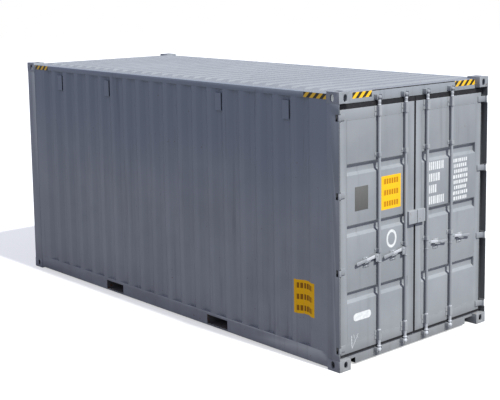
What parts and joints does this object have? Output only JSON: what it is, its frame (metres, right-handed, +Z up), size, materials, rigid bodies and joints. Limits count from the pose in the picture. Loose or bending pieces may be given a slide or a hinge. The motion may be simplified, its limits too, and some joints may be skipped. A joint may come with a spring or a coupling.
{
  "type": "shipping container",
  "caption": "High-cube steel freight container with corrugated walls, corner fittings, fork pockets and a pair of hinged doors closed by lock rods with handles.",
  "frame": {"origin": "centre of the foot, on the ground plane under the bottom corner fittings", "axes": "+X along the length towards the doors, +Y to the right side seen from inside looking at the doors, +Z up"},
  "size_m": [6.058, 2.438, 2.896],
  "materials": {
    "fitting": "painted cast steel, scuffed",
    "rubber": "matte",
    "galvanised": "galvanised, part painted grey",
    "gear": "satin grey",
    "door_paint": "satin grey",
    "roof_paint": "satin grey, weathered",
    "plywood": "scuffed floor plywood",
    "wall_paint": "satin grey",
    "underframe": "dark chassis coating",
    "frame_paint": "satin grey"
  },
  "bodies": {
    "container": {"bottom_rail_left": "frame_paint", "bottom_rail_right": "frame_paint", "cross_members": "underframe", "door_header": "frame_paint", "door_post_left": "frame_paint", "door_post_right": "frame_paint", "door_sill": "frame_paint", "fitting_door_left_bottom": "fitting", "fitting_door_left_top": "fitting", "fitting_door_right_bottom": "fitting", "fitting_door_right_top": "fitting", "fitting_front_left_bottom": "fitting", "fitting_front_left_top": "fitting", "fitting_front_right_bottom": "fitting", "fitting_front_right_top": "fitting", "floor": "plywood", "fork_pockets": "underframe", "front_header": "frame_paint", "front_post_left": "frame_paint", "front_post_right": "frame_paint", "front_sill": "frame_paint", "front_wall": "wall_paint", "roof": "roof_paint", "side_wall_left": "wall_paint", "side_wall_right": "wall_paint", "top_rail_left": "frame_paint", "top_rail_right": "frame_paint", "vents": "wall_paint"},
    "left_door": {"left_door_fittings": "gear", "left_door_frame": "door_paint", "left_door_hinges": "door_paint", "left_door_panel": "door_paint", "left_door_seal": "rubber"},
    "right_door": {"right_door_fittings": "gear", "right_door_frame": "door_paint", "right_door_hinges": "door_paint", "right_door_panel": "door_paint", "right_door_seal": "rubber"},
    "lock_rod_1": {"lock_rod_1": "galvanised"},
    "lock_rod_2": {"lock_rod_2": "galvanised"},
    "lock_rod_3": {"lock_rod_3": "galvanised"},
    "lock_rod_4": {"lock_rod_4": "galvanised"},
    "handle_1": {"handle_1": "galvanised"},
    "handle_2": {"handle_2": "galvanised"},
    "handle_3": {"handle_3": "galvanised"},
    "handle_4": {"handle_4": "galvanised"}
  },
  "joints": [
    {"name": "left_door_hinge", "type": "hinge", "parent": "container", "child": "left_door", "pos_m": [3.011, -1.201, 1.4], "axis": [0, 0, -1], "range_deg": [0, 264]},
    {"name": "right_door_hinge", "type": "hinge", "parent": "container", "child": "right_door", "pos_m": [3.011, 1.201, 1.4], "axis": [0, 0, 1], "range_deg": [0, 264]},
    {"name": "lock_rod_1_turn", "type": "hinge", "parent": "left_door", "child": "lock_rod_1", "pos_m": [3.003, -0.59696, 1.4], "axis": [0, 0, -1], "range_deg": [-100, 0]},
    {"name": "lock_rod_2_turn", "type": "hinge", "parent": "left_door", "child": "lock_rod_2", "pos_m": [3.003, -0.17802, 1.4], "axis": [0, 0, -1], "range_deg": [-100, 0]},
    {"name": "lock_rod_3_turn", "type": "hinge", "parent": "right_door", "child": "lock_rod_3", "pos_m": [3.003, 0.17802, 1.4], "axis": [0, 0, 1], "range_deg": [-100, 0]},
    {"name": "lock_rod_4_turn", "type": "hinge", "parent": "right_door", "child": "lock_rod_4", "pos_m": [3.003, 0.59696, 1.4], "axis": [0, 0, 1], "range_deg": [-100, 0]},
    {"name": "handle_1_lift", "type": "hinge", "parent": "lock_rod_1", "child": "handle_1", "pos_m": [3.003, -0.63296, 1.12794], "axis": [1, 0, 0], "range_deg": [-25, 0]},
    {"name": "handle_2_lift", "type": "hinge", "parent": "lock_rod_2", "child": "handle_2", "pos_m": [3.003, -0.21402, 1.12794], "axis": [1, 0, 0], "range_deg": [-25, 0]},
    {"name": "handle_3_lift", "type": "hinge", "parent": "lock_rod_3", "child": "handle_3", "pos_m": [3.003, 0.21402, 1.12794], "axis": [-1, 0, 0], "range_deg": [-25, 0]},
    {"name": "handle_4_lift", "type": "hinge", "parent": "lock_rod_4", "child": "handle_4", "pos_m": [3.003, 0.63296, 1.12794], "axis": [-1, 0, 0], "range_deg": [-25, 0]}
  ]
}
